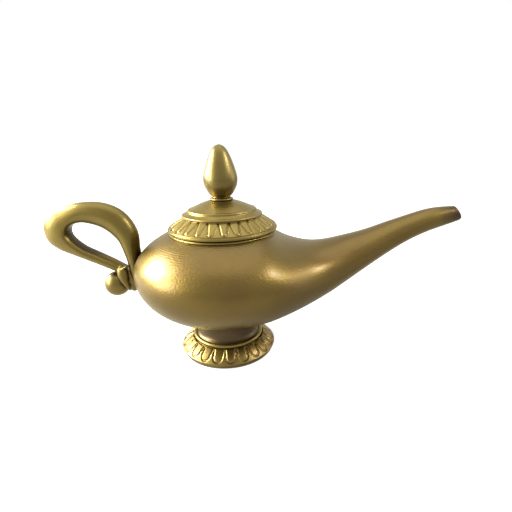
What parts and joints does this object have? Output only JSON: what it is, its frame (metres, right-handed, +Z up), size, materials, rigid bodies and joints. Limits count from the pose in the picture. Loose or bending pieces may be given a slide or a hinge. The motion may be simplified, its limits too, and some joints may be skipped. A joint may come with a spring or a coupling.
{
  "type": "oil lamp",
  "caption": "Spouted oil lamp with a flattened round bowl, a rising spout, a lift-off domed lid with a drop-shaped knob, a spreading foot and a loop handle.",
  "frame": {"origin": "centre of the felt pad's underside, which the lamp stands on", "axes": "+Z up along the foot, bowl and lid's common axis, +X from the bowl towards the spout's mouth, +Y to the lamp's left when the spout points forwards"},
  "size_m": [0.3022, 0.132, 0.1548],
  "materials": {
    "satin_brass": "satin gold, fine turned lines, darker in the hollows",
    "steel": "plain zinc plated",
    "felt": "matt felt"
  },
  "bodies": {
    "lamp": {"bowl_front_shell": "satin_brass", "bowl_back_shell": "satin_brass", "mouth_collar": "satin_brass", "foot_flange": "satin_brass", "foot_bead_ring": "satin_brass", "foot_base_plate": "steel", "foot_felt_pad": "felt", "tie_bolt": "steel", "tie_washer": "steel", "tie_nut": "steel", "handle_loop": "satin_brass", "handle_ball": "satin_brass", "handle_screws": "steel"},
    "lid": {"lid_cover": "satin_brass", "lid_locating_ring": "satin_brass", "finial_collar": "satin_brass", "finial": "satin_brass", "finial_stud": "steel", "finial_washer": "steel", "finial_nut": "steel"}
  },
  "joints": [
    {"name": "lid_lift", "type": "slide", "parent": "lamp", "child": "lid", "axis": [0, 0, 1], "range_m": [0, 0.06]}
  ]
}
